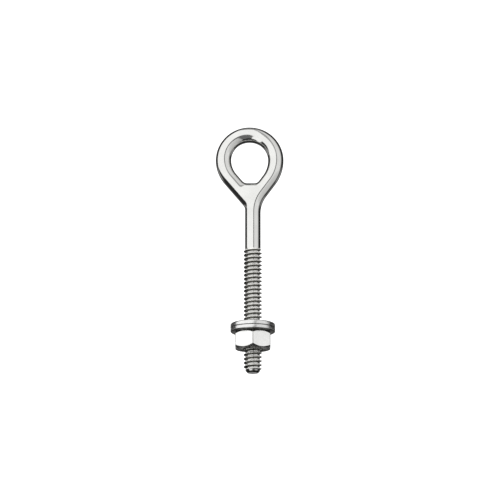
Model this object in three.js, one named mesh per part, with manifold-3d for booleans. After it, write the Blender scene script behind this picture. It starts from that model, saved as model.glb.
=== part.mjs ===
// Eye bolt: a round bar bent into a closed eye, with a rolled #10-24 thread, two flat washers and a hex nut.
// Millimetres, +Z up along the thread's axis. The origin is on that axis, level with the centre of the
// ring, and the ring lies in the XZ plane.
import * as THREE from "three";
import { mergeVertices } from "three/addons/utils/BufferGeometryUtils.js";
import Module from "manifold-3d";

const wasm = await Module();
wasm.setup();

// ---- Driving dimensions ----

// Bar and ring.
const BAR_RADIUS = 2.06;
const RING_INNER_RADIUS = 4.81;
const RING_CENTRE_X = -0.83;
// The ring's top is straight over this much of a turn to either side, where the bar's two halves meet.
const RING_TOP_FLAT = THREE.MathUtils.degToRad(1);

// Legs, from the ring's two sides down to the shank: a bend off the ring, a straight, a bend into the shank.
const RIGHT_LEG_ANGLE = THREE.MathUtils.degToRad(36.4);
const RIGHT_RING_BEND = 9.05;
const RIGHT_NECK_BEND = 9.6;
const LEFT_LEG_ANGLE = THREE.MathUtils.degToRad(40.2);
const LEFT_RING_BEND = 7.9;
const LEFT_NECK_BEND = 3.9;
// The left leg stops this far short of upright, where it has already run into the shank.
const LEFT_END_ANGLE = THREE.MathUtils.degToRad(8);

// Web that closes the crotch between the legs.
const WEB_TOP_Z = -6.2;
const WEB_DEPTH = 6;
const WEB_THICKNESS = 3.4;

// Thread.
const PITCH = 25.4 / 24;
const MAJOR_RADIUS = 2.4;
const ROOT_RADIUS = 1.8;
const FLANK_ANGLE = THREE.MathUtils.degToRad(30);
const CREST_FLAT = PITCH / 8;
const TIP_Z = -56.85;
const TIP_FLAT_RADIUS = 1.4;
const THREAD_TOP_Z = -23.8;
const RUN_OUT = PITCH * 0.6;

// Washers. Blanking rolls over the outer edge of one face and leaves the other face's edge nearly square.
const WASHER_OUTER_RADIUS = 5.85;
const WASHER_INNER_RADIUS = 2.65;
const WASHER_THICKNESS = 1.15;
const WASHER_ROLLED_EDGE = 0.45;
const WASHER_SQUARE_EDGE = 0.12;

// Nut.
const NUT_ACROSS_FLATS = 9.15;
const NUT_HEIGHT = 4.3;
const NUT_FACE_RADIUS = 4.5;
const NUT_CHAMFER_ANGLE = THREE.MathUtils.degToRad(42);
const NUT_MINOR_RADIUS = 1.93;
const NUT_COUNTERSINK = 0.25;
const THREAD_CLEARANCE = 0.07;

// Stack of washers and nut, with a hair gap between neighbours.
const STACK_TOP_Z = -43.8;
const STACK_GAP = 0.08;

// Facets.
const BAR_SIDES = 20;
const RIGHT_BAR_STEPS = 64;
const LEFT_BAR_STEPS = 44;
const THREAD_SIDES = 20;
const ROUND_SIDES = 32;
const EDGE_STEPS = 2;
const SLIVER = 0.002;

// ---- Materials ----

function steel(colour, roughness) {
  return new THREE.MeshStandardMaterial({ color: colour, metalness: 1, roughness });
}

const polishedSteel = steel(0xc9cacb, 0.16);
const washerSteel = steel(0xbdbfc1, 0.22);
const nutSteel = steel(0xd0d1d2, 0.18);

// ---- Solids: geometry to manifold and back ----

function toManifold(geometry) {
  const bare = geometry.clone();
  bare.deleteAttribute("normal");
  bare.deleteAttribute("uv");
  const merged = mergeVertices(bare, 1e-5);
  const mesh = new wasm.Mesh({
    numProp: 3,
    vertProperties: new Float32Array(merged.attributes.position.array),
    triVerts: new Uint32Array(merged.index.array),
  });
  return new wasm.Manifold(mesh);
}

// Booleans leave slivers along their seams, which simplify folds away.
function toGeometry(solid) {
  const mesh = solid.simplify(SLIVER).getMesh();
  const geometry = new THREE.BufferGeometry();
  geometry.setAttribute("position", new THREE.BufferAttribute(mesh.vertProperties, 3));
  geometry.setIndex(new THREE.BufferAttribute(mesh.triVerts, 1));
  geometry.computeVertexNormals();
  return geometry;
}

// A closed outline of [radius, z] points, counter-clockwise with z up, turned about the Z axis.
function turned(outline) {
  const points = outline.map(([radius, z]) => new THREE.Vector2(radius, z));
  return new THREE.LatheGeometry(points, ROUND_SIDES).rotateX(Math.PI / 2);
}

// A flat outline in the XZ plane, made solid by the same thickness to both sides of that plane.
function plate(outline, thickness) {
  const shape = new THREE.Shape(outline.map(([x, z]) => new THREE.Vector2(x, z)));
  const slab = new THREE.ExtrudeGeometry(shape, { depth: thickness, bevelEnabled: false });
  return slab.rotateX(Math.PI / 2).translate(0, thickness / 2, 0);
}

// ---- The bar's centreline ----

// An arc in the XZ plane. Angles are measured from +X towards +Z.
class PlaneArc extends THREE.Curve {
  constructor(centreX, centreZ, radius, fromAngle, toAngle) {
    super();
    Object.assign(this, { centreX, centreZ, radius, fromAngle, toAngle });
  }

  getPoint(t, target = new THREE.Vector3()) {
    const angle = THREE.MathUtils.lerp(this.fromAngle, this.toAngle, t);
    const x = this.centreX + this.radius * Math.cos(angle);
    const z = this.centreZ + this.radius * Math.sin(angle);
    return target.set(x, 0, z);
  }
}

// A leg runs from its side of the ring to the thread's axis. side is +1 for the right leg, -1 for the left.
function leg(side, angle, ringBend, neckBend) {
  const ringX = RING_CENTRE_X + side * RING_RADIUS;
  const run = Math.abs(ringX);
  const straight = (run - (ringBend + neckBend) * (1 - Math.cos(angle))) / Math.sin(angle);
  const drop = (ringBend + neckBend) * Math.sin(angle) + straight * Math.cos(angle);
  const ringBendCentre = ringX - side * ringBend;
  const neckBendCentre = side * neckBend;
  return { side, angle, ringBend, neckBend, drop, ringBendCentre, neckBendCentre };
}

// The point of a leg's bend at a turn from the upright.
function bendPoint(centreX, centreZ, radius, angle) {
  return new THREE.Vector3(centreX + radius * Math.cos(angle), 0, centreZ + radius * Math.sin(angle));
}

const RING_RADIUS = RING_INNER_RADIUS + BAR_RADIUS;
const RING_TOP_START = Math.PI / 2 - RING_TOP_FLAT;
const RING_TOP_END = Math.PI / 2 + RING_TOP_FLAT;
const RING_TOP = new THREE.Vector3(RING_CENTRE_X, 0, RING_RADIUS * Math.cos(RING_TOP_FLAT));
const RIGHT_LEG = leg(1, RIGHT_LEG_ANGLE, RIGHT_RING_BEND, RIGHT_NECK_BEND);
const LEFT_LEG = leg(-1, LEFT_LEG_ANGLE, LEFT_RING_BEND, LEFT_NECK_BEND);

// From the thread up the shank, out along the right leg and round the ring to its top.
function rightCentreline() {
  const { drop, angle, ringBend, neckBend, ringBendCentre, neckBendCentre } = RIGHT_LEG;
  const path = new THREE.CurvePath();
  const shankFoot = new THREE.Vector3(0, 0, THREAD_TOP_Z);
  const neck = new THREE.Vector3(0, 0, -drop);
  path.add(new THREE.LineCurve3(shankFoot, neck));
  path.add(new PlaneArc(neckBendCentre, -drop, neckBend, Math.PI, Math.PI - angle));
  path.add(
    new THREE.LineCurve3(
      bendPoint(neckBendCentre, -drop, neckBend, Math.PI - angle),
      bendPoint(ringBendCentre, 0, ringBend, -angle),
    ),
  );
  path.add(new PlaneArc(ringBendCentre, 0, ringBend, -angle, 0));
  path.add(new PlaneArc(RING_CENTRE_X, 0, RING_RADIUS, 0, RING_TOP_START));
  path.add(new THREE.LineCurve3(bendPoint(RING_CENTRE_X, 0, RING_RADIUS, RING_TOP_START), RING_TOP));
  return path;
}

// From the ring's top round to its left and down the left leg into the shank.
function leftCentreline() {
  const { drop, angle, ringBend, neckBend, ringBendCentre, neckBendCentre } = LEFT_LEG;
  const path = new THREE.CurvePath();
  path.add(new THREE.LineCurve3(RING_TOP, bendPoint(RING_CENTRE_X, 0, RING_RADIUS, RING_TOP_END)));
  path.add(new PlaneArc(RING_CENTRE_X, 0, RING_RADIUS, RING_TOP_END, Math.PI));
  path.add(new PlaneArc(ringBendCentre, 0, ringBend, Math.PI, Math.PI + angle));
  path.add(
    new THREE.LineCurve3(
      bendPoint(ringBendCentre, 0, ringBend, Math.PI + angle),
      bendPoint(neckBendCentre, -drop, neckBend, angle),
    ),
  );
  path.add(new PlaneArc(neckBendCentre, -drop, neckBend, angle, LEFT_END_ANGLE));
  return path;
}

// The bar is swept in two halves that meet face to face at the ring's top, since its two ends run into
// each other where the legs join.
function halfBar(centreline, steps) {
  const section = new THREE.Shape().absarc(0, 0, BAR_RADIUS, 0, Math.PI * 2);
  return new THREE.ExtrudeGeometry(section, {
    extrudePath: centreline,
    steps,
    curveSegments: BAR_SIDES / 2,
    bevelEnabled: false,
  });
}

// The centre of a straight leg at a height.
function legCentreX({ side, angle, ringBend, ringBendCentre }, z) {
  const start = bendPoint(ringBendCentre, 0, ringBend, side > 0 ? -angle : Math.PI + angle);
  return start.x - side * (start.z - z) * Math.tan(angle);
}

function web() {
  const bottomZ = WEB_TOP_Z - WEB_DEPTH;
  const midZ = WEB_TOP_Z - WEB_DEPTH / 4;
  const outline = [
    [legCentreX(LEFT_LEG, WEB_TOP_Z) + BAR_RADIUS / 2, WEB_TOP_Z],
    [legCentreX(LEFT_LEG, midZ), midZ],
    [-BAR_RADIUS / 4, bottomZ],
    [BAR_RADIUS / 4, bottomZ],
    [legCentreX(RIGHT_LEG, midZ), midZ],
    [legCentreX(RIGHT_LEG, WEB_TOP_Z) - BAR_RADIUS / 2, WEB_TOP_Z],
  ];
  return plate(outline, WEB_THICKNESS);
}

// ---- Threads ----

// Half the thread ridge's width along the axis at a radius, in pitches.
function ridgeHalfWidth(radius, clearance) {
  const width = CREST_FLAT / 2 + (MAJOR_RADIUS - radius) * Math.tan(FLANK_ANGLE) + clearance;
  return width / PITCH;
}

// A right-hand screw from bottomZ up: one strip of outline points wound round the axis, closed by a fan at
// each end. Both fans are rough and lie beyond what the envelope keeps.
function screw(crestRadius, rootRadius, clearance, bottomZ, turns) {
  const crestHalf = ridgeHalfWidth(crestRadius, clearance);
  const rootHalf = ridgeHalfWidth(rootRadius, clearance);
  const outline = [
    [-crestHalf, crestRadius],
    [crestHalf, crestRadius],
    [rootHalf, rootRadius],
    [1 - rootHalf, rootRadius],
  ];
  const rows = turns * outline.length;
  const columns = THREAD_SIDES;
  const positions = [];
  for (let row = 0; row <= rows; row++) {
    const [share, radius] = outline[row % outline.length];
    const turn = Math.floor(row / outline.length);
    for (let column = 0; column <= columns; column++) {
      const angle = ((column % columns) / columns) * Math.PI * 2;
      const z = bottomZ + PITCH * (turn + share + column / columns);
      positions.push(radius * Math.cos(angle), radius * Math.sin(angle), z);
    }
  }

  const at = (row, column) => row * (columns + 1) + column;
  const indices = [];
  for (let row = 0; row < rows; row++) {
    for (let column = 0; column < columns; column++) {
      indices.push(at(row, column), at(row, column + 1), at(row + 1, column + 1));
      indices.push(at(row, column), at(row + 1, column + 1), at(row + 1, column));
    }
  }

  const lowest = bottomZ + PITCH * outline[0][0];
  const bottomCentre = positions.length / 3;
  positions.push(0, 0, lowest + PITCH / 2);
  const topCentre = bottomCentre + 1;
  positions.push(0, 0, lowest + PITCH * (turns + 0.5));
  for (let column = 0; column < columns; column++) {
    indices.push(bottomCentre, at(0, column + 1), at(0, column));
    indices.push(topCentre, at(rows, column), at(rows, column + 1));
  }
  for (let row = 0; row < outline.length; row++) {
    indices.push(bottomCentre, at(row, 0), at(row + 1, 0));
    indices.push(topCentre, at(rows - row, columns), at(rows - row - 1, columns));
  }

  const geometry = new THREE.BufferGeometry();
  geometry.setAttribute("position", new THREE.Float32BufferAttribute(positions, 3));
  geometry.setIndex(indices);
  return geometry;
}

const THREAD_LENGTH = THREAD_TOP_Z - TIP_Z;
const THREAD_TURNS = Math.ceil(THREAD_LENGTH / PITCH);
const SCREW_BOTTOM_Z = TIP_Z - 2 * PITCH;

function boltThread() {
  const endless = screw(MAJOR_RADIUS, ROOT_RADIUS, 0, SCREW_BOTTOM_Z, THREAD_TURNS + 4);
  const beyond = MAJOR_RADIUS + STACK_GAP;
  const envelope = turned([
    [0, TIP_Z],
    [TIP_FLAT_RADIUS, TIP_Z],
    [beyond, TIP_Z + beyond - TIP_FLAT_RADIUS],
    [beyond, THREAD_TOP_Z - RUN_OUT],
    [BAR_RADIUS - 2 * THREAD_CLEARANCE, THREAD_TOP_Z + THREAD_CLEARANCE],
    [0, THREAD_TOP_Z + THREAD_CLEARANCE],
  ]);
  return toManifold(endless).intersect(toManifold(envelope));
}

// The shank tapers to the thread's root, so that the first groove fades out of the plain bar.
function runOutCone() {
  const bottomZ = THREAD_TOP_Z - 2 * RUN_OUT;
  const topZ = THREAD_TOP_Z + RUN_OUT;
  return turned([
    [0, bottomZ],
    [ROOT_RADIUS - THREAD_CLEARANCE, bottomZ],
    [BAR_RADIUS - THREAD_CLEARANCE, THREAD_TOP_Z],
    [BAR_RADIUS - THREAD_CLEARANCE, topZ],
    [0, topZ],
  ]);
}

function eyeBolt() {
  const solid = toManifold(halfBar(rightCentreline(), RIGHT_BAR_STEPS))
    .add(toManifold(halfBar(leftCentreline(), LEFT_BAR_STEPS)))
    .add(toManifold(web()))
    .add(toManifold(runOutCone()))
    .add(boltThread());
  return toGeometry(solid);
}

// ---- Washers and nut ----

// A flat ring with its bottom face at z = 0, whose outer edges have their own rounds.
function washer(bottomRound, topRound) {
  const section = new THREE.Path();
  const outer = WASHER_OUTER_RADIUS;
  const inner = WASHER_INNER_RADIUS;
  const bore = WASHER_SQUARE_EDGE;
  const top = WASHER_THICKNESS;
  section.moveTo(inner + bore, 0);
  section.lineTo(outer - bottomRound, 0);
  section.absarc(outer - bottomRound, bottomRound, bottomRound, -Math.PI / 2, 0);
  section.absarc(outer - topRound, top - topRound, topRound, 0, Math.PI / 2);
  section.lineTo(inner + bore, top);
  section.absarc(inner + bore, top - bore, bore, Math.PI / 2, Math.PI);
  section.absarc(inner + bore, bore, bore, Math.PI, Math.PI * 1.5);
  const outline = section.getPoints(EDGE_STEPS).map((point) => [point.x, point.y]);
  return toGeometry(toManifold(turned(outline)));
}

// A hexagon with one corner towards -Y, chamfered at both ends and tapped to run on the bolt's own helix.
function hexNut(topZ) {
  const bottomZ = topZ - NUT_HEIGHT;
  const cornerRadius = NUT_ACROSS_FLATS / Math.sqrt(3);
  const hexagon = new THREE.Shape();
  for (let corner = 0; corner < 6; corner++) {
    const angle = -Math.PI / 2 + (corner * Math.PI) / 3;
    const x = cornerRadius * Math.cos(angle);
    const y = cornerRadius * Math.sin(angle);
    if (corner === 0) hexagon.moveTo(x, y);
    else hexagon.lineTo(x, y);
  }
  const prism = new THREE.ExtrudeGeometry(hexagon, { depth: NUT_HEIGHT, bevelEnabled: false });
  prism.translate(0, 0, bottomZ);

  const beyond = cornerRadius + STACK_GAP;
  const chamfer = (beyond - NUT_FACE_RADIUS) * Math.tan(NUT_CHAMFER_ANGLE);
  const envelope = turned([
    [0, bottomZ],
    [NUT_FACE_RADIUS, bottomZ],
    [beyond, bottomZ + chamfer],
    [beyond, topZ - chamfer],
    [NUT_FACE_RADIUS, topZ],
    [0, topZ],
  ]);

  // The mouth cones run past the nut's faces, so that each cut is clean.
  const mouth = MAJOR_RADIUS + NUT_COUNTERSINK;
  const depth = mouth - NUT_MINOR_RADIUS;
  const bottomMouth = [
    [0, bottomZ - depth],
    [mouth + depth, bottomZ - depth],
    [mouth - depth, bottomZ + depth],
    [0, bottomZ + depth],
  ];
  const topMouth = [
    [0, topZ - depth],
    [mouth - depth, topZ - depth],
    [mouth + depth, topZ + depth],
    [0, topZ + depth],
  ];

  const firstTurn = Math.floor((bottomZ - SCREW_BOTTOM_Z) / PITCH) - 2;
  const tap = screw(
    MAJOR_RADIUS + THREAD_CLEARANCE,
    NUT_MINOR_RADIUS,
    THREAD_CLEARANCE,
    SCREW_BOTTOM_Z + firstTurn * PITCH,
    Math.ceil(NUT_HEIGHT / PITCH) + 4,
  );

  const solid = toManifold(prism)
    .intersect(toManifold(envelope))
    .subtract(toManifold(tap))
    .subtract(toManifold(turned(bottomMouth)))
    .subtract(toManifold(turned(topMouth)));
  return toGeometry(solid);
}

// ---- Assembly ----

const UPPER_WASHER_Z = STACK_TOP_Z - WASHER_THICKNESS;
const LOWER_WASHER_Z = UPPER_WASHER_Z - STACK_GAP - WASHER_THICKNESS;
const NUT_TOP_Z = LOWER_WASHER_Z - STACK_GAP;

const group = new THREE.Group();

function addPart(name, geometry, material, z = 0) {
  const mesh = new THREE.Mesh(geometry, material);
  mesh.name = name;
  mesh.position.z = z;
  group.add(mesh);
}

addPart("eye_bolt", eyeBolt(), polishedSteel);
const rolledTop = washer(WASHER_SQUARE_EDGE, WASHER_ROLLED_EDGE);
const rolledBottom = washer(WASHER_ROLLED_EDGE, WASHER_SQUARE_EDGE);
addPart("upper_washer", rolledTop, washerSteel, UPPER_WASHER_Z);
addPart("lower_washer", rolledBottom, washerSteel, LOWER_WASHER_Z);
addPart("hex_nut", hexNut(NUT_TOP_Z), nutSteel);

export default group;
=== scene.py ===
"""Polished steel eye bolt with two flat washers and a hex nut, modelled for Blender 4.5 over its CAD frame.

Shapes are worked out in millimetres, in the CAD's axes, and scaled to metres when each mesh is made.
"""
import math

import bmesh
import bpy
import numpy as np
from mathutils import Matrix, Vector

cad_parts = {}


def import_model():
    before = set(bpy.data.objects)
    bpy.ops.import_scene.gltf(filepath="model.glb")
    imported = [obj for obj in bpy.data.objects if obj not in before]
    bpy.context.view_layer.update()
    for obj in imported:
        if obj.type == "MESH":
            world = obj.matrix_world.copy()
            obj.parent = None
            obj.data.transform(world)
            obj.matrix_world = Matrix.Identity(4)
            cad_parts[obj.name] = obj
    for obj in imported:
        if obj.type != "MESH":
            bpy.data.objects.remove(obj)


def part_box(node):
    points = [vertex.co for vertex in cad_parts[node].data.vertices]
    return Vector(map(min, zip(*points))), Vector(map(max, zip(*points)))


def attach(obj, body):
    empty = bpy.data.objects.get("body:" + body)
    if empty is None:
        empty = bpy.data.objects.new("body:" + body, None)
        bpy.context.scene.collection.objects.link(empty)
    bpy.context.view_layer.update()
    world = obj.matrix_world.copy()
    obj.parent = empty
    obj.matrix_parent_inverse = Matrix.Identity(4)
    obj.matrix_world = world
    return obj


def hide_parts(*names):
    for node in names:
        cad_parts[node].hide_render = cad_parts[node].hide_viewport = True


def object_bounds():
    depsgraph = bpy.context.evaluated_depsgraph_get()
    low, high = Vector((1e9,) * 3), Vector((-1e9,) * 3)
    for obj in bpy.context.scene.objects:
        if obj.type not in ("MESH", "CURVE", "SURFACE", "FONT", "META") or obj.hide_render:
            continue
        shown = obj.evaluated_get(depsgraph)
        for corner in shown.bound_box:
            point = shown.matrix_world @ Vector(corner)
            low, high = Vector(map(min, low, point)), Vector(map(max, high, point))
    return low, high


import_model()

CAD_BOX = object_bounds()
MM = 0.001


def box_mm(node):
    """Lowest and highest corner of a CAD node, in millimetres."""
    low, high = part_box(node)
    return np.array(low) / MM, np.array(high) / MM


# ---- Dimensions, in millimetres ----

BOLT_LOW, BOLT_HIGH = box_mm("eye_bolt")

BAR_RADIUS = 2.06
RING_INNER_RADIUS = 4.81
RING_RADIUS = RING_INNER_RADIUS + BAR_RADIUS
RING_CENTRE_X = (BOLT_LOW[0] + BOLT_HIGH[0]) / 2

RIGHT_LEG_ANGLE = math.radians(36.4)
RIGHT_RING_BEND = 9.05
RIGHT_NECK_BEND = 9.6
LEFT_LEG_ANGLE = math.radians(40.2)
LEFT_RING_BEND = 7.9
LEFT_NECK_BEND = 3.9

WEB_TOP_Z = -6.2
WEB_CORNER_BLEND = 0.6

PITCH = 25.4 / 24
MAJOR_RADIUS = 2.4
ROOT_RADIUS = 1.8
FLANK_ANGLE = math.radians(30)
CREST_FLAT = PITCH / 8
CREST_ROUND = 0.035
ROOT_ROUND = 0.035
TIP_ROUND = 0.15
TIP_Z = BOLT_LOW[2]
TIP_FLAT_RADIUS = 1.4
TIP_PILOT_RADIUS = 1.96
TIP_PILOT_TOP_Z = TIP_Z + 1.1
THREAD_TOP_Z = -23.8
RUN_OUT = PITCH * 0.8
NECK_Z = -16.0

WASHER_INNER_RADIUS = 2.65
WASHER_ROLLED_EDGE = 0.45
WASHER_SQUARE_EDGE = 0.12

NUT_FACE_RADIUS = 4.5
NUT_CHAMFER_ANGLE = math.radians(42)
NUT_MINOR_RADIUS = 1.93
NUT_CORNER_ROUND = 0.22
NUT_CORNER_RADIUS = 5.25
NUT_CORNER_CROWDING = 0.8
NUT_EDGE_ROUND = 0.1
NUT_COUNTERSINK = 0.25
THREAD_CLEARANCE = 0.07

# ---- Mesh resolution ----

MERGE_DISTANCE = 0.0005
NET_STEP = 0.19
NET_PULLS = 6
LEAST_SLOPE_SQUARED = 0.05
THREAD_COLUMNS = 80
THREAD_POINTS = 20
TIP_DISC_SHARES = (1.0, 0.97, 0.6, 0.2, 0.0)
NUT_COLUMNS = 144
NUT_EDGE_STEPS = 4
WASHER_COLUMNS = 128
WASHER_EDGE_STEPS = 6


# ---- Mesh helpers ----

def finish_piece(name, bm, body, node, material):
    """A smooth piece that rides on a body and stands for a CAD node."""
    bmesh.ops.recalc_face_normals(bm, faces=bm.faces)
    for face in bm.faces:
        face.smooth = True
    mesh = bpy.data.meshes.new(name)
    bm.to_mesh(mesh)
    bm.free()
    mesh.materials.append(material)
    piece = bpy.data.objects.new(name, mesh)
    bpy.context.scene.collection.objects.link(piece)
    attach(piece, body)
    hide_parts(node)


def soft_min(a, b, blend):
    """The smaller of two lengths, with the corner between them rounded over a blend length."""
    overlap = np.maximum(blend - np.abs(a - b), 0.0)
    return np.minimum(a, b) - overlap**2 / (4 * blend)


def soft_max(a, b, blend):
    return -soft_min(-a, -b, blend)


def smooth_step(low, high, value):
    share = np.clip((value - low) / (high - low), 0.0, 1.0)
    return share * share * (3 - 2 * share)


def ring_faces(rows, columns):
    """Quads between closed rings of points, which are numbered ring by ring."""
    faces = []
    for row in range(rows - 1):
        low = row * columns
        high = low + columns
        for column in range(columns):
            after = (column + 1) % columns
            faces.append([low + column, low + after, high + after, high + column])
    return faces


class Builder:
    """Points and faces of one mesh, in millimetres, gathered a strip at a time."""

    def __init__(self):
        self.points = []
        self.faces = []
        self.count = 0

    def add(self, points, faces):
        self.points.append(np.asarray(points, float))
        self.faces.extend([[i + self.count for i in face] for face in faces])
        self.count += len(points)

    def rings(self, profile, angles):
        """Quads between round rings of (radius, z)."""
        columns = len(angles)
        points = []
        for radius, z in profile:
            heights = np.full(columns, z)
            points.extend(np.stack([radius * np.cos(angles), radius * np.sin(angles), heights], 1))
        self.add(points, ring_faces(len(profile), columns))

    def screw(self, outline, angles, low, high, shape):
        """A right-hand helical surface from low to high. outline(share) is the radius over one pitch,
        and shape(radius, z) fits it to the ends, where z is held at low or high."""
        columns = len(angles)
        shares = np.arange(THREAD_POINTS) / THREAD_POINTS
        radii = outline(shares)
        first = math.floor((low - TIP_Z) / PITCH) - 2
        last = math.ceil((high - TIP_Z) / PITCH) + 2
        points = []
        for turn in range(first, last):
            for column, angle in enumerate(angles):
                z = TIP_Z + PITCH * (turn + shares + angle / math.tau)
                held = np.clip(z, low, high)
                radius = shape(radii, held)
                points.append(np.stack([radius * math.cos(angle), radius * math.sin(angle), held], 1))
        steps = len(points)
        faces = []
        for step in range(steps - 1):
            for share in range(THREAD_POINTS):
                here = step * THREAD_POINTS + share
                ahead = here + THREAD_POINTS
                if share + 1 < THREAD_POINTS:
                    faces.append([here, ahead, ahead + 1, here + 1])
                elif step + columns + 1 < steps:
                    above = (step + columns) * THREAD_POINTS
                    faces.append([here, ahead, above + THREAD_POINTS, above])
        self.add(np.concatenate(points), faces)

    def merged(self):
        """Everything added, in metres, with doubled points merged."""
        bm = bmesh.new()
        verts = [bm.verts.new(Vector(point) * MM) for point in np.concatenate(self.points)]
        for face in self.faces:
            corners = list(dict.fromkeys(face))
            if len(corners) > 2:
                bm.faces.new([verts[i] for i in corners])
        bmesh.ops.remove_doubles(bm, verts=bm.verts, dist=MERGE_DISTANCE * MM)
        return bm


def even_angles(columns):
    return np.arange(columns) * math.tau / columns


def thread_outline(crest, root, clearance):
    """Radius over one pitch, with the ridge's middle at share 0 and both its corners rounded."""
    def radius(share):
        from_ridge = np.abs((share + 0.5) % 1.0 - 0.5) * PITCH
        flank = MAJOR_RADIUS + (CREST_FLAT / 2 + clearance - from_ridge) / math.tan(FLANK_ANGLE)
        return soft_max(soft_min(flank, crest, CREST_ROUND * 2), root, ROOT_ROUND * 2)
    return radius


# ---- The eye: the bar's distance field, meshed as a net ----

def arc_distance(x, z, centre_x, centre_z, radius, low, high):
    """Distance in the XZ plane to an arc whose angles run from low to high."""
    angle = np.arctan2(z - centre_z, x - centre_x)
    middle = (low + high) / 2
    off_middle = (angle - middle + math.pi) % math.tau - math.pi
    held = middle + np.clip(off_middle, (low - high) / 2, (high - low) / 2)
    return np.hypot(x - centre_x - radius * np.cos(held), z - centre_z - radius * np.sin(held))


def line_distance(x, z, start, end):
    along = np.subtract(end, start)
    share = ((x - start[0]) * along[0] + (z - start[1]) * along[1]) / (along @ along)
    held = np.clip(share, 0.0, 1.0)
    return np.hypot(x - start[0] - held * along[0], z - start[1] - held * along[1])


class Leg:
    """One leg of the eye: a bend off the ring, a straight, and a bend into the shank."""

    def __init__(self, side, angle, ring_bend, neck_bend):
        ring_x = RING_CENTRE_X + side * RING_RADIUS
        bends = ring_bend + neck_bend
        straight = (abs(ring_x) - bends * (1 - math.cos(angle))) / math.sin(angle)
        self.side = side
        self.angle = angle
        self.ring_bend = ring_bend
        self.neck_bend = neck_bend
        self.drop = bends * math.sin(angle) + straight * math.cos(angle)
        self.ring_centre_x = ring_x - side * ring_bend
        self.neck_centre_x = side * neck_bend
        self.top = (
            self.ring_centre_x + side * ring_bend * math.cos(angle),
            -ring_bend * math.sin(angle),
        )
        self.bottom = (
            self.neck_centre_x - side * neck_bend * math.cos(angle),
            -self.drop + neck_bend * math.sin(angle),
        )

    def distance(self, x, z):
        if self.side > 0:
            ring_arc = (-self.angle, 0.0)
            neck_arc = (math.pi - self.angle, math.pi)
        else:
            ring_arc = (math.pi, math.pi + self.angle)
            neck_arc = (0.0, self.angle)
        return np.minimum.reduce([
            arc_distance(x, z, self.ring_centre_x, 0.0, self.ring_bend, *ring_arc),
            line_distance(x, z, self.top, self.bottom),
            arc_distance(x, z, self.neck_centre_x, -self.drop, self.neck_bend, *neck_arc),
        ])

    def centre_x(self, z):
        """The leg's centre at a height: the straight, carried on into both bends."""
        run = (self.top[1] - z) * math.tan(self.angle)
        straight = self.top[0] - self.side * run
        into_neck = np.clip((z + self.drop) / self.neck_bend, 0.0, math.sin(self.angle))
        bend = self.side * self.neck_bend * (1 - np.sqrt(1 - into_neck**2))
        return np.where(z < self.bottom[1], bend, straight)


RIGHT_LEG = Leg(1, RIGHT_LEG_ANGLE, RIGHT_RING_BEND, RIGHT_NECK_BEND)
LEFT_LEG = Leg(-1, LEFT_LEG_ANGLE, LEFT_RING_BEND, LEFT_NECK_BEND)


def eye_distance(points):
    """Signed distance from the surface of the eye, its legs, the web between them and the shank."""
    x, y, z = points[..., 0], points[..., 1], points[..., 2]
    to_centreline = np.minimum.reduce([
        arc_distance(x, z, RING_CENTRE_X, 0.0, RING_RADIUS, 0.0, math.pi),
        RIGHT_LEG.distance(x, z),
        LEFT_LEG.distance(x, z),
        line_distance(x, z, (0.0, -LEFT_LEG.drop), (0.0, BOLT_LOW[2])),
    ])

    # The web fills the crotch from leg centre to leg centre, flush with the bar. Its top edge is as
    # round as the bar and blends into both legs.
    between = (x > LEFT_LEG.centre_x(z)) & (x < RIGHT_LEG.centre_x(z))
    to_web = np.maximum(z - WEB_TOP_Z + BAR_RADIUS, 0.0)
    blended = np.maximum(soft_min(to_centreline, to_web, WEB_CORNER_BLEND), 0.0)
    return np.hypot(np.where(between, blended, to_centreline), y) - BAR_RADIUS


def field_gradient(distance, points, reach=0.01):
    gradient = np.empty_like(points)
    for axis in range(3):
        offset = np.zeros(3)
        offset[axis] = reach
        gradient[:, axis] = (distance(points + offset) - distance(points - offset)) / (2 * reach)
    return gradient


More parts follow.
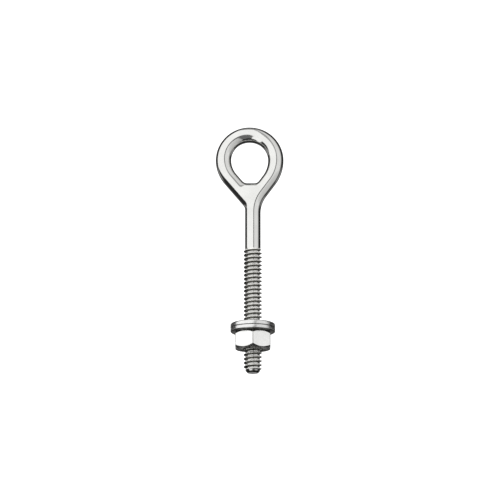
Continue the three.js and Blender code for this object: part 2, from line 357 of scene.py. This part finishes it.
def surface_net(distance, low, high, step):
    """Quads on the surface where distance is 0: one point to each grid cell that it crosses, pulled
    onto the surface."""
    counts = [int(math.ceil((b - a) / step)) + 1 for a, b in zip(low, high)]
    axes = [low[i] + step * np.arange(counts[i]) for i in range(3)]
    grid = np.stack(np.meshgrid(*axes, indexing="ij"), -1)
    value = distance(grid)
    inside = value < 0

    cells = tuple(n - 1 for n in counts)
    total = np.zeros(cells + (3,))
    crossings = np.zeros(cells)
    for axis in range(3):
        others = [i for i in range(3) if i != axis]
        for shift_a in (0, 1):
            for shift_b in (0, 1):
                start = [slice(0, n) for n in cells]
                start[others[0]] = slice(shift_a, cells[others[0]] + shift_a)
                start[others[1]] = slice(shift_b, cells[others[1]] + shift_b)
                end = list(start)
                end[axis] = slice(1, cells[axis] + 1)
                start, end = tuple(start), tuple(end)
                crossed = inside[start] != inside[end]
                gap = np.where(crossed, value[start] - value[end], 1.0)
                share = np.where(crossed, value[start] / gap, 0.0)
                place = grid[start] + share[..., None] * (grid[end] - grid[start])
                total += np.where(crossed[..., None], place, 0.0)
                crossings += crossed
    used = crossings > 0
    points = total[used] / crossings[used][:, None]
    index = np.full(cells, -1)
    index[used] = np.arange(len(points))

    for _ in range(NET_PULLS):
        gradient = field_gradient(distance, points)
        slope_squared = np.maximum((gradient**2).sum(1), LEAST_SLOPE_SQUARED)
        points = points - (distance(points) / slope_squared)[:, None] * gradient

    faces = []
    for axis in range(3):
        side_a, side_b = (axis + 1) % 3, (axis + 2) % 3
        here = [slice(1, n) for n in cells]
        here[axis] = slice(0, cells[axis])
        ahead = list(here)
        ahead[axis] = slice(1, cells[axis] + 1)
        crossed = np.argwhere(inside[tuple(here)] != inside[tuple(ahead)])
        crossed[:, side_a] += 1
        crossed[:, side_b] += 1
        step_a = np.eye(3, dtype=int)[side_a]
        step_b = np.eye(3, dtype=int)[side_b]
        corners = [crossed, crossed - step_a, crossed - step_a - step_b, crossed - step_b]
        quads = np.stack([index[tuple(corner.T)] for corner in corners], 1)
        faces.extend(quads[(quads >= 0).all(1)].tolist())
    return points, faces


def bolt_radius(radius, z):
    """The thread's radius, faded into the shank at the top and into a chamfered pilot at the tip."""
    depth = smooth_step(THREAD_TOP_Z, THREAD_TOP_Z - RUN_OUT, z)
    faded = BAR_RADIUS + (radius - BAR_RADIUS) * depth
    started = smooth_step(TIP_PILOT_TOP_Z - PITCH / 2, TIP_PILOT_TOP_Z, z)
    piloted = TIP_PILOT_RADIUS + (faded - TIP_PILOT_RADIUS) * started
    return soft_min(piloted, TIP_FLAT_RADIUS + z - TIP_Z, TIP_ROUND * 2)


def eye_bolt(material):
    build = Builder()
    angles = even_angles(THREAD_COLUMNS)
    shank_top = NECK_Z - NET_STEP
    outline = thread_outline(MAJOR_RADIUS, ROOT_RADIUS, 0.0)
    build.screw(outline, angles, TIP_Z, THREAD_TOP_Z, bolt_radius)
    build.rings([(BAR_RADIUS, THREAD_TOP_Z), (BAR_RADIUS, shank_top)], angles)
    tip_radius = float(bolt_radius(np.array(ROOT_RADIUS), np.array(TIP_Z)))
    build.rings([(tip_radius * share, TIP_Z) for share in TIP_DISC_SHARES], angles)

    margin = 2 * NET_STEP
    low = (BOLT_LOW[0] - margin, -BAR_RADIUS - margin, NECK_Z - NET_STEP / 2)
    high = (BOLT_HIGH[0] + margin, BAR_RADIUS + margin, BOLT_HIGH[2] + margin)
    build.add(*surface_net(eye_distance, low, high, NET_STEP))

    # The shank's top ring and the net's lower rim are the only open edges left.
    bm = build.merged()
    seam = [edge for edge in bm.edges if edge.is_boundary]
    bmesh.ops.bridge_loops(bm, edges=seam)
    finish_piece("eye_bolt_steel", bm, "eye_bolt", "eye_bolt", material)


# ---- Washers and nut ----

def fillet(before, corner, after, radius, steps):
    """Points of an arc that rounds a corner of a (radius, z) outline."""
    corner = np.array(corner, float)
    to_before = np.array(before, float) - corner
    to_after = np.array(after, float) - corner
    to_before /= np.linalg.norm(to_before)
    to_after /= np.linalg.norm(to_after)
    half = math.acos(np.clip(to_before @ to_after, -1.0, 1.0)) / 2
    bisector = to_before + to_after
    centre = corner + bisector / np.linalg.norm(bisector) * radius / math.sin(half)
    start = corner + to_before * radius / math.tan(half) - centre
    end = corner + to_after * radius / math.tan(half) - centre
    turn = math.pi - 2 * half
    points = []
    for step in range(steps + 1):
        share = step / steps
        a = math.sin((1 - share) * turn) / math.sin(turn)
        b = math.sin(share * turn) / math.sin(turn)
        points.append(tuple(centre + start * a + end * b))
    return points


def washer(name, bottom_round, top_round, material):
    """A flat ring. Blanking rolls over one face's outer edge and leaves the other's nearly square."""
    low, high = box_mm(name)
    outer = (high[0] - low[0]) / 2
    inner = WASHER_INNER_RADIUS
    corners = [
        ((outer, low[2]), bottom_round),
        ((outer, high[2]), top_round),
        ((inner, high[2]), WASHER_SQUARE_EDGE),
        ((inner, low[2]), WASHER_SQUARE_EDGE),
    ]
    profile = []
    for i, (corner, radius) in enumerate(corners):
        before = corners[i - 1][0]
        after = corners[(i + 1) % len(corners)][0]
        profile.extend(fillet(before, corner, after, radius, WASHER_EDGE_STEPS))
    profile.append(profile[0])
    build = Builder()
    build.rings(profile, even_angles(WASHER_COLUMNS))
    finish_piece(f"{name}_steel", build.merged(), name, name, material)


def corner_angles(columns):
    """Angles round the nut, drawn in towards its six corners, one of which faces -Y."""
    even = even_angles(columns)
    return even - NUT_CORNER_CROWDING / 6 * np.sin(6 * (even + math.pi / 2))


def hexagon_radius(angles, across_flats):
    """Radius of the nut's plan at each angle, with its corners rounded."""
    from_flat = np.abs((angles + math.pi / 6) % (math.pi / 3) - math.pi / 6)
    flat = across_flats / 2 / np.cos(from_flat)
    corner = across_flats / math.sqrt(3)
    inset = NUT_CORNER_ROUND * (1 / math.cos(math.pi / 6) - 1)
    return soft_min(flat, np.full_like(flat, corner - inset), inset * 2)


def nut_outline(wall, bottom, top, mouth):
    """(radius, z) from mouth to mouth over both end faces, both chamfers and a wall at one angle."""
    drop = (wall - NUT_FACE_RADIUS) * math.tan(NUT_CHAMFER_ANGLE)
    corners = [
        (mouth, bottom),
        (NUT_FACE_RADIUS, bottom),
        (wall, bottom + drop),
        (wall, top - drop),
        (NUT_FACE_RADIUS, top),
        (mouth, top),
    ]
    outline = [corners[0]]
    for before, corner, after in zip(corners, corners[1:], corners[2:]):
        outline.extend(fillet(before, corner, after, NUT_EDGE_ROUND, NUT_EDGE_STEPS))
    outline.append(corners[-1])
    return outline


def hex_nut(material):
    low, high = box_mm("hex_nut")
    bottom, top = low[2], high[2]
    mouth = MAJOR_RADIUS + NUT_COUNTERSINK
    angles = corner_angles(NUT_COLUMNS)
    walls = hexagon_radius(angles, across_flats=high[0] - low[0])

    outlines = [nut_outline(wall, bottom, top, mouth) for wall in walls]
    points = []
    for ring in zip(*outlines):
        for angle, (radius, z) in zip(angles, ring):
            points.append((radius * math.cos(angle), radius * math.sin(angle), z))
    build = Builder()
    build.add(points, ring_faces(len(outlines[0]), NUT_COLUMNS))

    def tapped(radius, z):
        from_end = np.minimum(z - bottom, top - z)
        return soft_max(radius, mouth - from_end, CREST_ROUND)

    outline = thread_outline(MAJOR_RADIUS + THREAD_CLEARANCE, NUT_MINOR_RADIUS, THREAD_CLEARANCE)
    build.screw(outline, angles, bottom, top, tapped)
    finish_piece("hex_nut_steel", build.merged(), "hex_nut", "hex_nut", material)


# ---- Materials ----

# Near-black painted shade for downward-facing faces and hollows, and the roughness added with it.
PAINTED_SHADE_COLOUR = (0.04, 0.04, 0.033, 1.0)
PAINTED_SHADE_ROUGHNESS = 0.25
# Pale, part-matte painted light for the thread's upward-facing flanks, and its metallic.
PAINTED_LIGHT_COLOUR = (0.96, 0.95, 0.91, 1.0)
PAINTED_LIGHT_METALLIC = 0.3
CLOUD_SHADE = 0.93
SCRATCH_STRETCH = (14.0, 14.0, 0.5)
SCRATCH_ROUGHNESS = 0.05
GRAIN_RELIEF = 0.25
RELIEF_STRENGTH = 0.12
RELIEF_DEPTH = 0.004 * MM
THREAD_FADE = 0.5
BORE_FADE = 0.15


class Nodes:
    """Shorthand for building one material's node tree."""

    def __init__(self, name):
        self.material = bpy.data.materials.new(name)
        self.material.use_nodes = True
        self.tree = self.material.node_tree
        self.shader = self.tree.nodes["Principled BSDF"]

    def new(self, kind, inputs=None, **settings):
        node = self.tree.nodes.new(kind)
        for key, value in settings.items():
            setattr(node, key, value)
        for key, value in (inputs or {}).items():
            if isinstance(value, bpy.types.NodeSocket):
                self.tree.links.new(value, node.inputs[key])
            else:
                node.inputs[key].default_value = value
        return node

    def maths(self, operation, *values):
        return self.new("ShaderNodeMath", dict(enumerate(values)), operation=operation).outputs[0]

    def spread(self, value, low, high, to_low, to_high):
        inputs = {"Value": value, "From Min": low, "From Max": high, "To Min": to_low, "To Max": to_high}
        return self.new("ShaderNodeMapRange", inputs).outputs["Result"]

    def noise(self, place, scale, detail, roughness=0.5):
        inputs = {"Vector": place, "Scale": scale, "Detail": detail, "Roughness": roughness}
        return self.new("ShaderNodeTexNoise", inputs).outputs["Fac"]

    def mix_colour(self, share, a, b):
        """A colour mix, whose factor and two colours are the node's inputs 0, 6 and 7."""
        return self.new("ShaderNodeMix", {0: share, 6: a, 7: b}, data_type="RGBA").outputs[2]

    def drive(self, name, value):
        self.tree.links.new(value, self.shader.inputs[name])


def on_thread(nodes, height):
    """1 on the thread and 0 on the shank above it."""
    return nodes.spread(height, THREAD_TOP_Z - THREAD_FADE, THREAD_TOP_Z, 1.0, 0.0)


def thread_painted_shade(nodes, height, from_axis, facing_up):
    """Painted shade: near black on the thread's downward-facing lower flanks and on the tip's chamfer and
    end.
    """
    flank = nodes.spread(facing_up, -0.3, -0.04, 1.0, 0.0)
    above_tip = nodes.spread(height, TIP_Z + 0.9, TIP_Z + 1.3, 0.0, 1.0)
    tip = nodes.spread(height, TIP_Z + 0.3, TIP_Z + 0.55, 0.9, 0.0)
    extent = nodes.maths("MULTIPLY", on_thread(nodes, height), above_tip)
    return nodes.maths("MAXIMUM", nodes.maths("MULTIPLY", flank, extent), tip)


def thread_painted_light(nodes, height, from_axis, facing_up):
    """Painted light: pale, part-matte metal on the thread's crests and upward-facing flanks, fainter
    towards the roots.
    """
    flank = nodes.spread(facing_up, -0.06, 0.12, 0.0, 1.0)
    outward = nodes.spread(from_axis, ROOT_RADIUS, ROOT_RADIUS + 0.2, 0.4, 1.0)
    extent = nodes.maths("MULTIPLY", outward, on_thread(nodes, height))
    return nodes.maths("MULTIPLY", flank, extent)


def washer_painted_shade(nodes, height, from_axis, facing_up):
    """Painted shade inside a washer's hole and on its downward-facing edges."""
    bore = nodes.spread(from_axis, WASHER_INNER_RADIUS, WASHER_INNER_RADIUS + BORE_FADE, 0.8, 0.0)
    return nodes.maths("MAXIMUM", bore, nodes.spread(facing_up, -0.5, -0.1, 0.9, 0.0))


def nut_painted_shade_and_corners(nodes, height, from_axis, facing_up):
    """Painted shade in the nut's thread and on its lower face, and its six corners half darkened."""
    mouth = MAJOR_RADIUS + NUT_COUNTERSINK
    thread = nodes.spread(from_axis, mouth, mouth + NUT_COUNTERSINK, 1.0, 0.0)
    corner = nodes.spread(from_axis, NUT_CORNER_RADIUS - 0.07, NUT_CORNER_RADIUS - 0.02, 0.0, 0.5)
    below = nodes.spread(facing_up, -0.95, -0.8, 0.95, 0.0)
    return nodes.maths("MAXIMUM", nodes.maths("MAXIMUM", thread, corner), below)


def scratch_mask(nodes, in_mm, turns):
    """Fine scratches in a few directions, each a noise drawn out along one axis."""
    scratches = None
    for turn in turns:
        inputs = {"Vector": in_mm, "Rotation": turn, "Scale": SCRATCH_STRETCH}
        drawn = nodes.new("ShaderNodeMapping", inputs).outputs[0]
        fine = nodes.spread(nodes.noise(drawn, 1.0, 2.0), 0.62, 0.7, 0.0, 1.0)
        scratches = fine if scratches is None else nodes.maths("MAXIMUM", scratches, fine)
    return scratches


def polished_steel(name, colour, roughness, scratch_turns, painted_shade, painted_light=None):
    """Polished stainless steel, faintly cloudy and finely scratched. The last two arguments are masks of
    (height, distance from the axis, facing up), for near-black painted shade and for pale painted light."""
    nodes = Nodes(name)
    place = nodes.new("ShaderNodeTexCoord").outputs
    scaling = {"Vector": place["Object"], "Scale": (1 / MM,) * 3}
    in_mm = nodes.new("ShaderNodeMapping", scaling).outputs[0]
    facing_up = nodes.new("ShaderNodeSeparateXYZ", {"Vector": place["Normal"]}).outputs["Z"]
    x, y, height = nodes.new("ShaderNodeSeparateXYZ", {"Vector": in_mm}).outputs
    square = nodes.maths("ADD", nodes.maths("MULTIPLY", x, x), nodes.maths("MULTIPLY", y, y))
    from_axis = nodes.maths("SQRT", square)

    clouds = nodes.noise(in_mm, 0.35, 3.0)
    smudges = nodes.noise(in_mm, 1.6, 5.0, 0.6)
    grain = nodes.noise(in_mm, 22.0, 2.0)
    scratches = scratch_mask(nodes, in_mm, scratch_turns)
    patchy = nodes.spread(smudges, 0.3, 0.6, 0.75, 1.0)
    # Where near-black painted shade goes, broken up by smudges.
    painted_shade_share = nodes.maths("MULTIPLY", painted_shade(nodes, height, from_axis, facing_up), patchy)

    dull = tuple(channel * CLOUD_SHADE for channel in colour) + (1.0,)
    bright = colour + (1.0,)
    clouded = nodes.mix_colour(nodes.spread(clouds, 0.35, 0.65, 0.0, 1.0), dull, bright)
    # Painted shade: the shade mask darkens the colour towards near black.
    base = nodes.mix_colour(painted_shade_share, clouded, PAINTED_SHADE_COLOUR)
    nodes.shader.inputs["Metallic"].default_value = 1.0
    # Painted light, where given: pale, less metallic colour on the light mask.
    if painted_light:
        painted_light_share = painted_light(nodes, height, from_axis, facing_up)
        base = nodes.mix_colour(painted_light_share, base, PAINTED_LIGHT_COLOUR)
        nodes.drive("Metallic", nodes.spread(painted_light_share, 0.0, 1.0, 1.0, PAINTED_LIGHT_METALLIC))
    nodes.drive("Base Color", base)

    worn = nodes.spread(smudges, 0.35, 0.7, roughness * 0.8, roughness * 1.35)
    scratched = nodes.maths("ADD", worn, nodes.maths("MULTIPLY", scratches, SCRATCH_ROUGHNESS))
    # Painted shade also adds roughness.
    painted_shade_rough = nodes.maths("MULTIPLY", painted_shade_share, PAINTED_SHADE_ROUGHNESS)
    nodes.drive("Roughness", nodes.maths("ADD", scratched, painted_shade_rough))

    relief = nodes.maths("SUBTRACT", nodes.maths("MULTIPLY", grain, GRAIN_RELIEF), scratches)
    bump = {"Height": relief, "Strength": RELIEF_STRENGTH, "Distance": RELIEF_DEPTH}
    nodes.drive("Normal", nodes.new("ShaderNodeBump", bump).outputs["Normal"])
    return nodes.material


BOLT_STEEL = polished_steel(
    "polished bolt steel", (0.62, 0.62, 0.605), 0.075,
    [(0.0, 0.0, 0.3), (0.9, 0.4, 0.0), (-0.6, 1.1, 0.5)], thread_painted_shade, thread_painted_light,
)
WASHER_STEEL = polished_steel(
    "polished washer steel", (0.66, 0.66, 0.655), 0.26,
    [(1.3, 0.3, 0.2), (1.6, -0.7, 0.9), (0.8, 1.4, -0.4)], washer_painted_shade,
)
NUT_STEEL = polished_steel(
    "polished nut steel", (0.77, 0.77, 0.76), 0.24,
    [(0.1, 0.0, 0.4), (1.2, 0.5, 0.0), (-0.8, 0.7, 0.9)], nut_painted_shade_and_corners,
)

eye_bolt(BOLT_STEEL)
washer("upper_washer", WASHER_SQUARE_EDGE, WASHER_ROLLED_EDGE, WASHER_STEEL)
washer("lower_washer", WASHER_ROLLED_EDGE, WASHER_SQUARE_EDGE, WASHER_STEEL)
hex_nut(NUT_STEEL)


# ---- Studio, in metres: a pale floor, and a dome of soft panels that only reflections see ----

DOME_RADIUS = 0.9
DOME_STEP = 1.5
FLOOR_Z = -0.6
FLOOR_HALF_SIZE = 12.0
FLOOR_COLOUR = (0.86, 0.86, 0.86, 1.0)
FLOOR_ROUGHNESS = 0.9
WORLD_COLOUR = (1.0, 1.0, 1.0, 1.0)
WORLD_STRENGTH = 1.4

# Panels are convex outlines of (azimuth, elevation) in degrees, azimuth 0 in front and positive to the
# right, each with its glow at its lowest and highest edge and the width over which its edges fade.
PANELS = [
    # The left wall, in two pieces that meet along its slanting right edge, and its foot.
    (1.45, 1.45, 3.0, [(-95, 1), (-30, -42), (-12, -42), (7, 10), (13, 78), (-90, 78)]),
    (1.45, 1.45, 3.0, [(-20, 8), (4, 8), (25, 78), (-20, 78)]),
    (1.5, 1.5, 4.0, [(-88, -62), (-14, -64), (-6, -36), (-34, -31), (-88, -57)]),
    # The right wall, dimmer than the left and dimmer still towards its foot, with a soft outer edge.
    (0.55, 1.15, 5.0, [(34, -50), (50, -60), (72, -58), (78, -40), (78, 20), (19, 20), (14, -12)]),
    (1.15, 1.0, 5.0, [(15, -4), (78, -4), (78, 78), (40, 80), (19, 20)]),
    (0.8, 1.0, 28.0, [(50, -50), (88, -50), (88, 76), (50, 76)]),
    # The seam between the two walls, darkest at its foot.
    (0.2, 0.2, 6.0, [(-14, -60), (34, -60), (18, 20), (2, 20)]),
    (0.5, 0.5, 4.0, [(4, 14), (22, 18), (45, 80), (18, 80)]),
    # A panel behind, in two halves that meet at azimuth 180, one low on each side, and a dim ceiling.
    (0.85, 0.85, 16.0, [(152, -20), (190, -20), (190, 36), (152, 36)]),
    (0.85, 0.85, 16.0, [(-190, -20), (-152, -20), (-152, 36), (-190, 36)]),
    (0.4, 0.4, 12.0, [(106, -20), (134, -20), (134, 2), (106, 2)]),
    (0.4, 0.4, 12.0, [(-134, -20), (-106, -20), (-106, 2), (-134, 2)]),
    (0.35, 0.35, 10.0, [(-190, 68), (190, 68), (190, 100), (-190, 100)]),
]
AMBIENT_GLOW = 0.035


def panel_glow(azimuth, elevation):
    """The brightest of the panels in each direction, over a dim surround."""
    glow = np.full(azimuth.shape, AMBIENT_GLOW)
    for low_glow, high_glow, fade, outline in PANELS:
        corners = np.array(outline, float)
        inside = np.full(azimuth.shape, np.inf)
        for start, end in zip(corners, np.roll(corners, -1, axis=0)):
            along = (end - start) / np.linalg.norm(end - start)
            to_left = along[0] * (elevation - start[1]) - along[1] * (azimuth - start[0])
            inside = np.minimum(inside, to_left)
        bottom, top = corners[:, 1].min(), corners[:, 1].max()
        height = np.clip((elevation - bottom) / (top - bottom), 0.0, 1.0)
        strength = low_glow + (high_glow - low_glow) * height
        glow = np.maximum(glow, strength * smooth_step(-fade / 2, fade / 2, inside))
    return glow


def stage_mesh(name, points, faces, material):
    mesh = bpy.data.meshes.new(name)
    mesh.from_pydata(points, [], faces)
    mesh.materials.append(material)
    sheet = bpy.data.objects.new(name, mesh)
    bpy.context.scene.collection.objects.link(sheet)
    return sheet


def dome():
    """A sphere about the part whose glow varies with direction. Only reflections see it."""
    azimuths = np.arange(-180.0, 180.0, DOME_STEP)
    elevations = np.arange(-90.0, 90.0 + DOME_STEP, DOME_STEP)
    azimuth, elevation = np.meshgrid(azimuths, elevations)
    across = DOME_RADIUS * np.cos(np.radians(elevation))
    points = np.stack([
        across * np.sin(np.radians(azimuth)),
        -across * np.cos(np.radians(azimuth)),
        DOME_RADIUS * np.sin(np.radians(elevation)),
    ], -1).reshape(-1, 3)

    material = bpy.data.materials.new("soft panels")
    material.use_nodes = True
    tree = material.node_tree
    tree.nodes.clear()
    glow = tree.nodes.new("ShaderNodeAttribute")
    glow.attribute_name = "glow"
    emission = tree.nodes.new("ShaderNodeEmission")
    output = tree.nodes.new("ShaderNodeOutputMaterial")
    tree.links.new(glow.outputs["Fac"], emission.inputs["Strength"])
    tree.links.new(emission.outputs[0], output.inputs["Surface"])

    faces = ring_faces(len(elevations), len(azimuths))
    sheet = stage_mesh("dome", points.tolist(), faces, material)
    attribute = sheet.data.attributes.new("glow", "FLOAT", "POINT")
    attribute.data.foreach_set("value", panel_glow(azimuth, elevation).ravel())
    sheet.visible_camera = False
    sheet.visible_diffuse = False
    sheet.visible_shadow = False


def floor():
    material = bpy.data.materials.new("pale floor")
    material.use_nodes = True
    shader = material.node_tree.nodes["Principled BSDF"]
    shader.inputs["Base Color"].default_value = FLOOR_COLOUR
    shader.inputs["Roughness"].default_value = FLOOR_ROUGHNESS
    signs = [(-1, -1), (1, -1), (1, 1), (-1, 1)]
    corners = [(x * FLOOR_HALF_SIZE, y * FLOOR_HALF_SIZE, FLOOR_Z) for x, y in signs]
    sheet = stage_mesh("floor", corners, [[0, 1, 2, 3]], material)
    sheet.visible_glossy = False


def world():
    """An even white surround, which lights the floor and stands behind the part."""
    scene_world = bpy.data.worlds.new("studio")
    bpy.context.scene.world = scene_world
    scene_world.use_nodes = True
    background = scene_world.node_tree.nodes["Background"].inputs
    background["Color"].default_value = WORLD_COLOUR
    background["Strength"].default_value = WORLD_STRENGTH


dome()
floor()
world()

# ---- Camera, in metres: the eye seen face on, from below the horizontal, through a long lens ----

VIEW_ELEVATION = math.radians(-13)
VIEW_DISTANCE = 0.8
VIEW_WIDTH = 0.1306
SENSOR_MM = 36.0
AIM = Vector((0.09 * MM, 0.0, -0.2 * MM))

camera_data = bpy.data.cameras.new("camera")
camera_data.sensor_width = SENSOR_MM
camera_data.lens = SENSOR_MM * VIEW_DISTANCE / VIEW_WIDTH
camera = bpy.data.objects.new("camera", camera_data)
bpy.context.scene.collection.objects.link(camera)
box_centre = (Vector(CAD_BOX[0]) + Vector(CAD_BOX[1])) / 2
toward = Vector((0.0, math.cos(VIEW_ELEVATION), -math.sin(VIEW_ELEVATION)))
target = box_centre + AIM
camera.location = target - toward * VIEW_DISTANCE
camera.rotation_euler = toward.to_track_quat("-Z", "Y").to_euler()
bpy.context.scene.camera = camera
bpy.context.scene.view_settings.view_transform = "Standard"
